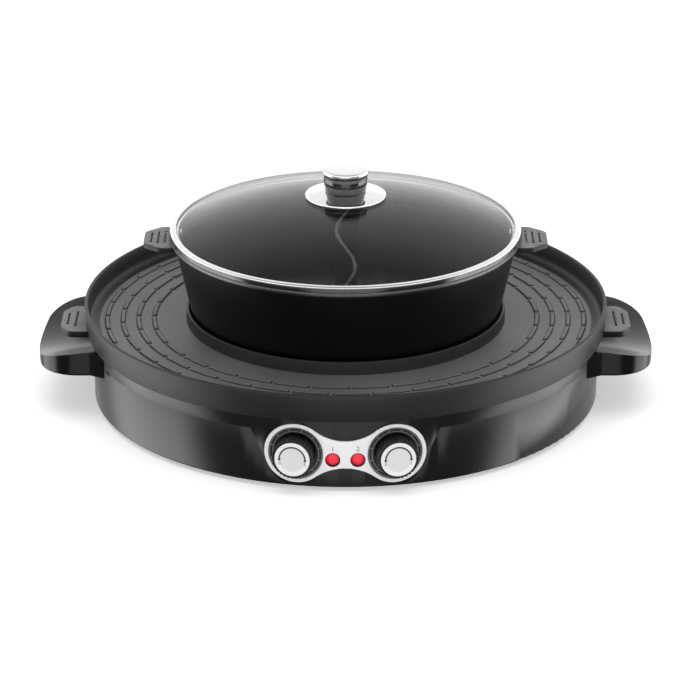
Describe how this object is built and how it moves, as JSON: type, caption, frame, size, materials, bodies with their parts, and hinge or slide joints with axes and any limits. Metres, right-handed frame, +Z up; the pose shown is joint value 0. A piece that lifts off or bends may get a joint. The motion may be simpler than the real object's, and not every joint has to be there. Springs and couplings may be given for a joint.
{
  "type": "hot pot grill combo",
  "caption": "Round electric base with control knobs and lug handles, under a ring-shaped grill pan and a divided hot pot with a domed glass lid.",
  "frame": {"origin": "on the table, under the middle of the round base", "axes": "+X to the right lug handle as seen from the front, +Y to the back, -Y out of the control panel, +Z up"},
  "size_m": [0.471, 0.4061, 0.1806],
  "materials": {
    "case_plastic": "high gloss black",
    "cover_steel": "matte black powder coat",
    "foot_rubber": "matte",
    "zinc_steel": "zinc plated",
    "fascia_silver": "satin, very light",
    "dial_grey": "satin dark grey with printed ticks",
    "knob_black": "satin, fluted",
    "knob_silver": "satin",
    "bezel_black": "satin black",
    "lens_red": "clear tinted, gloss",
    "lamp_glass": "clear",
    "thermostat_body": "bare",
    "reflector_sheet": "bright",
    "plate_cast": "cast, machined on top",
    "heater_tube": "oxidised",
    "ceramic_white": "unglazed",
    "inlet_plastic": "matte",
    "contact_brass": "bare",
    "fuse_metal": "bare",
    "wire_sleeve": "silicone sleeve, matte",
    "pan_coating": "dark non-stick coating, finely speckled",
    "grip_grey": "fine speckled texture",
    "pot_coating": "dark non-stick coating",
    "rivet_aluminium": "satin",
    "lid_glass": "clear tempered",
    "lid_chrome": "polished",
    "seal_silicone": "matte"
  },
  "bodies": {
    "base": {"base_drum": "case_plastic", "top_ring": "case_plastic", "bottom_cover": "cover_steel", "feet": "foot_rubber", "case_screws": "zinc_steel", "handle_right": "case_plastic", "handle_left": "case_plastic", "handle_screws": "zinc_steel", "control_fascia": "fascia_silver", "dial_ring_left": "dial_grey", "dial_ring_right": "dial_grey", "thermostat_left": "thermostat_body", "thermostat_right": "thermostat_body", "thermostat_nut_left": "zinc_steel", "thermostat_nut_right": "zinc_steel", "indicator_lens_left": "lens_red", "indicator_lens_right": "lens_red", "lamp_bezels": "bezel_black", "neon_lamps": "lamp_glass", "reflector": "reflector_sheet", "heat_well": "reflector_sheet", "well_screws": "zinc_steel", "hotpot_heater_plate": "plate_cast", "plate_screws": "zinc_steel", "grill_heater": "heater_tube", "heater_clips": "zinc_steel", "heater_insulators": "ceramic_white", "power_inlet": "inlet_plastic", "inlet_pins": "contact_brass", "inlet_screws": "zinc_steel", "terminal_block": "ceramic_white", "block_screw": "zinc_steel", "thermal_fuses": "fuse_metal", "wiring": "wire_sleeve"},
    "grill_pan": {"grill_pan": "pan_coating", "pan_ear_left": "grip_grey", "pan_ear_right": "grip_grey", "pan_ear_screws": "zinc_steel"},
    "hot_pot": {"pot_shell": "pot_coating", "pot_divider": "pot_coating", "pot_ear_left": "grip_grey", "pot_ear_right": "grip_grey", "pot_rivets": "rivet_aluminium"},
    "lid": {"lid_glass": "lid_glass", "lid_ring": "lid_chrome", "lid_flange": "lid_chrome", "lid_knob": "lid_chrome", "lid_washer": "seal_silicone", "lid_screw": "zinc_steel"},
    "knob_left": {"knob_left": "knob_black", "knob_cap_left": "knob_silver", "knob_shaft_left": "zinc_steel"},
    "knob_right": {"knob_right": "knob_black", "knob_cap_right": "knob_silver", "knob_shaft_right": "zinc_steel"}
  },
  "joints": [
    {"name": "pan_lift", "type": "slide", "parent": "base", "child": "grill_pan", "axis": [0, 0, 1], "range_m": [0, 0.1]},
    {"name": "pot_lift", "type": "slide", "parent": "grill_pan", "child": "hot_pot", "axis": [0, 0, 1], "range_m": [0, 0.12]},
    {"name": "lid_lift", "type": "slide", "parent": "hot_pot", "child": "lid", "axis": [0, 0, 1], "range_m": [0, 0.12]},
    {"name": "knob_left_turn", "type": "hinge", "parent": "base", "child": "knob_left", "pos_m": [-0.03681, -0.19658, 0.0295], "axis": [0.184, 0.9829, 0], "range_deg": [0, 240]},
    {"name": "knob_right_turn", "type": "hinge", "parent": "base", "child": "knob_right", "pos_m": [0.03681, -0.19658, 0.0295], "axis": [-0.184, 0.9829, 0], "range_deg": [0, 240]}
  ]
}
